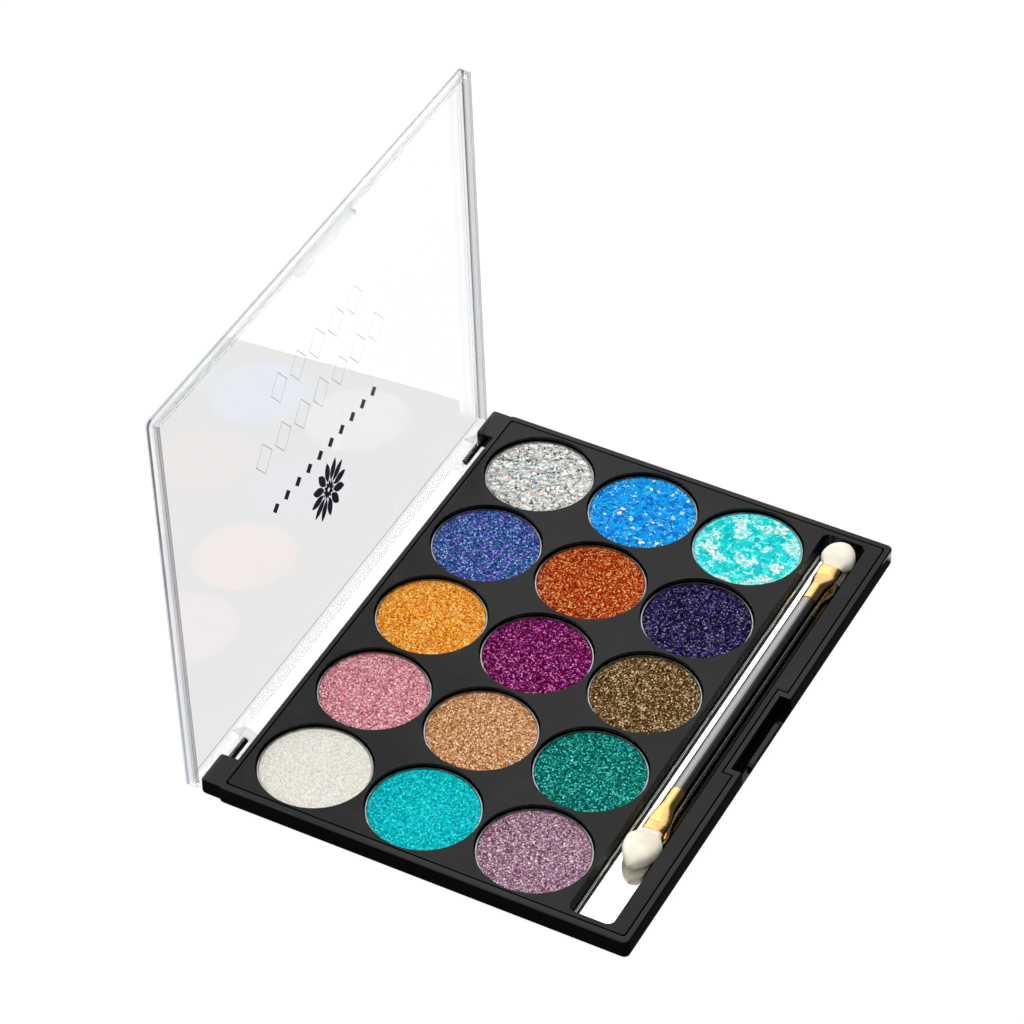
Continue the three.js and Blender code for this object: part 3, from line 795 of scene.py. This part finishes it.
def painted_edge_shade(name, low, high, alpha):
    """Painted shade for the grey that refraction gives the clear plastic at its edge: darkest far from
    the hinge.
    """
    shader = Shader(name)
    height = shader.add("ShaderNodeSeparateXYZ")
    shader.link(shader.coordinates, height.inputs["Vector"])
    up = shader.add("ShaderNodeMapRange")
    up.inputs["From Max"].default_value = 0.1
    shader.link(height.outputs["Z"], up.inputs["Value"])
    mottle = shader.add("ShaderNodeMath", operation="MULTIPLY")
    shader.link(up.outputs["Result"], mottle.inputs[0])
    shader.link(shader.span(shader.noise(110.0), 0.55, 1.3), mottle.inputs[1])
    shader.feed(shader.ramp(mottle.outputs["Value"], [(0.1, high), (0.85, low)]), "Base Color")
    shader.feed(shader.span(shader.noise(300.0), 0.2, 0.4), "Roughness")
    shader.set(Alpha=alpha)
    return shader.material


def lid_edge_shading():
    # Painted shade strips along the lid's outer edge, rim and inner rim, standing in for refraction.
    side = painted_edge_shade("edge_side", srgb(24, 32, 58), srgb(168, 178, 196), 0.8)
    front = painted_edge_shade("edge_front", srgb(150, 156, 158), srgb(190, 194, 196), 0.7)
    rim = painted_edge_shade("edge_rim", srgb(52, 58, 66), srgb(120, 124, 130), 0.7)
    faint = painted_edge_shade("edge_faint", srgb(120, 124, 128), srgb(150, 152, 156), 0.5)
    painted_edge_strip("lid_edge_outer", (-0.01, 7.75), (-0.01, 7.1), side, front)
    painted_edge_strip("lid_edge_rim", (0.02, 5.285), (0.2, 5.285), rim, rim)
    painted_edge_strip("lid_edge_inner", (1.02, 5.285), (1.2, 5.285), rim, faint)


# The painted reflection line: half length, Y span and lift off the plate's inner face, in mm.
REFLECTION_LINE_HALF = 68
REFLECTION_LINE_Y = (52.8, 53.0)
REFLECTION_LINE_LIFT = 0.015


def painted_reflection_line():
    """A faint grey line in the plate, along the foot of its hinge-side wall: a painted reflection of
    that wall in the plate.
    """
    height = LID_INNER_FACE / MM - REFLECTION_LINE_LIFT
    corners = [(-REFLECTION_LINE_HALF, REFLECTION_LINE_Y[0]), (REFLECTION_LINE_HALF, REFLECTION_LINE_Y[0]),
               (REFLECTION_LINE_HALF, REFLECTION_LINE_Y[1]), (-REFLECTION_LINE_HALF, REFLECTION_LINE_Y[1])]
    verts = [lid_point(x, y, height) for x, y in corners]
    tone = ink("painted_reflection_line", srgb(150, 150, 150), srgb(190, 190, 190))
    new_piece("lid_painted_reflection_line", mesh_from("lid_painted_reflection_line", verts, [(0, 1, 2, 3)]), tone, "lid")


# ------------------------------------------------------------------ studio
# X (m) across which the floor's reflection turns from dark to bright, and both strengths.
PAPER_GLOW = 1.06
CARD_EDGE = (0.0705, 0.073)
CARD_GLOW = (0.03, 2.0)
# The tent's glow rises from the first strength to the second between these Y directions.
TENT_EDGE = (-0.3, 0.12)
TENT_GLOW = (0.06, 1.1)


def studio_floor():
    """White paper that lamps barely shade; in reflections it is dark but for a card at +X."""
    mesh = mesh_from("floor", [(-6, -6, 0), (6, -6, 0), (6, 6, 0), (-6, 6, 0)], [(0, 1, 2, 3)])
    floor = bpy.data.objects.new("floor", mesh)
    bpy.context.scene.collection.objects.link(floor)
    shader = Shader("floor")
    shader.feed(shader.ramp(shader.noise(2.0), [(0.3, srgb(243, 243, 243)), (0.7, srgb(247, 247, 247))]),
                "Base Color")
    shader.set(Roughness=0.9, Specular_IOR_Level=0.0)
    glow = shader.add("ShaderNodeEmission")
    glow.inputs["Strength"].default_value = PAPER_GLOW
    paper = shader.add("ShaderNodeMixShader")
    paper.inputs["Fac"].default_value = 0.9
    shader.link(shader.principled.outputs["BSDF"], paper.inputs[1])
    shader.link(glow.outputs["Emission"], paper.inputs[2])
    across = shader.add("ShaderNodeSeparateXYZ")
    shader.link(shader.coordinates, across.inputs["Vector"])
    card = shader.add("ShaderNodeMapRange", interpolation_type="SMOOTHSTEP")
    shader.link(across.outputs["X"], card.inputs["Value"])
    set_span(card, CARD_EDGE, CARD_GLOW)
    seen = shader.add("ShaderNodeEmission")
    shader.link(card.outputs["Result"], seen.inputs["Strength"])
    path = shader.add("ShaderNodeLightPath")
    reflected = shader.add("ShaderNodeMath", operation="SUBTRACT", use_clamp=True)
    shader.link(path.outputs["Is Glossy Ray"], reflected.inputs[0])
    shader.link(path.outputs["Is Transmission Ray"], reflected.inputs[1])
    choose = shader.add("ShaderNodeMixShader")
    shader.link(reflected.outputs["Value"], choose.inputs["Fac"])
    shader.link(paper.outputs["Shader"], choose.inputs[1])
    shader.link(seen.outputs["Emission"], choose.inputs[2])
    shader.link(choose.outputs["Shader"], shader.output.inputs["Surface"])
    mesh.materials.append(shader.material)


def studio_world():
    """A white tent, open and dark on the front side, plain white where the camera sees it."""
    world = bpy.data.worlds.new("studio")
    bpy.context.scene.world = world
    world.use_nodes = True
    tree = world.node_tree
    background = tree.nodes["Background"]
    where = tree.nodes.new("ShaderNodeTexCoord")
    split = tree.nodes.new("ShaderNodeSeparateXYZ")
    tree.links.new(where.outputs["Generated"], split.inputs["Vector"])
    side = tree.nodes.new("ShaderNodeMapRange")
    side.interpolation_type = "SMOOTHSTEP"
    set_span(side, TENT_EDGE, TENT_GLOW)
    tree.links.new(split.outputs["Y"], side.inputs["Value"])
    path = tree.nodes.new("ShaderNodeLightPath")
    direct = tree.nodes.new("ShaderNodeMath")
    direct.operation = "MAXIMUM"
    tree.links.new(path.outputs["Is Camera Ray"], direct.inputs[0])
    tree.links.new(path.outputs["Is Transmission Ray"], direct.inputs[1])
    seen = tree.nodes.new("ShaderNodeMath")
    seen.operation = "MAXIMUM"
    tree.links.new(side.outputs["Result"], seen.inputs[0])
    tree.links.new(direct.outputs["Value"], seen.inputs[1])
    tree.links.new(seen.outputs["Value"], background.inputs["Strength"])
    background.inputs["Color"].default_value = (1, 1, 1, 1)


def area_light(name, place, target, size, power):
    """A round lamp aimed at a point; places and size in metres, power in watts."""
    data = bpy.data.lights.new(name, "AREA")
    data.shape = "DISK"
    data.size = size
    data.energy = power
    lamp = bpy.data.objects.new(name, data)
    lamp.location = place
    aim = Vector(target) - Vector(place)
    lamp.rotation_euler = aim.to_track_quat("-Z", "Y").to_euler()
    bpy.context.scene.collection.objects.link(lamp)


def studio_lights():
    area_light("key", (-0.15, -0.35, 1.1), (0, 0, 0), 0.7, 6.0)
    area_light("rim", (0.5, 0.9, 0.9), (0, 0, 0), 1.7, 3.4)


# ------------------------------------------------------------------ camera
CAMERA_TARGET = Vector((40.9, 34.8, 4.0)) * MM
CAMERA_AZIMUTH = math.radians(-62.94)
CAMERA_ELEVATION = math.radians(42.33)
CAMERA_ROLL = math.radians(0.42)
CAMERA_DISTANCE = 1044 * MM
CAMERA_LENS = 154.8


def make_camera():
    level = math.cos(CAMERA_ELEVATION)
    back = Vector((math.sin(CAMERA_AZIMUTH) * level, -math.cos(CAMERA_AZIMUTH) * level,
                   math.sin(CAMERA_ELEVATION)))
    right = Vector((0, 0, 1)).cross(back).normalized()
    up = back.cross(right)
    rolled_right = right * math.cos(CAMERA_ROLL) + up * math.sin(CAMERA_ROLL)
    rolled_up = up * math.cos(CAMERA_ROLL) - right * math.sin(CAMERA_ROLL)
    data = bpy.data.cameras.new("camera")
    data.lens = CAMERA_LENS
    data.sensor_width = 36
    data.clip_start = 0.01
    data.clip_end = 50
    camera = bpy.data.objects.new("camera", data)
    turn = Matrix((rolled_right, rolled_up, back)).transposed().to_4x4()
    camera.matrix_world = Matrix.Translation(CAMERA_TARGET + back * CAMERA_DISTANCE) @ turn
    bpy.context.scene.collection.objects.link(camera)
    bpy.context.scene.camera = camera


# ------------------------------------------------------------------ build
def dress_cad_nodes():
    gloss = black_plastic()
    use_material(["base_case", "hinge_pin_left", "hinge_pin_right"], gloss)
    use_material(["applicator_handle"], handle_plastic())
    use_material(["pan_tray"], black_tray_plastic())
    dress_lid("clear_lid")
    use_material([name for name in NODES if name.startswith("pan_") and name != "pan_tray"], tinplate())
    for name in POWDER_COLOURS:
        use_material(["powder_" + name], powder_material(name))


make_camera()
dress_cad_nodes()
for pan_name, layers in FLAKE_PANS.items():
    flake_pan(pan_name, layers)
mirror_piece(mirror_film())
gold_metal = gold()
ferrule_piece("ferrule_near", gold_metal, -1)
ferrule_piece("ferrule_far", gold_metal, 1)
cream = foam()
sponge_piece("sponge_tip_near", cream, -1)
sponge_piece("sponge_tip_far", cream, 1)
lid_prints()
lid_edge_shading()
painted_reflection_line()
studio_floor()
studio_world()
studio_lights()
bpy.context.scene.view_settings.view_transform = "Standard"
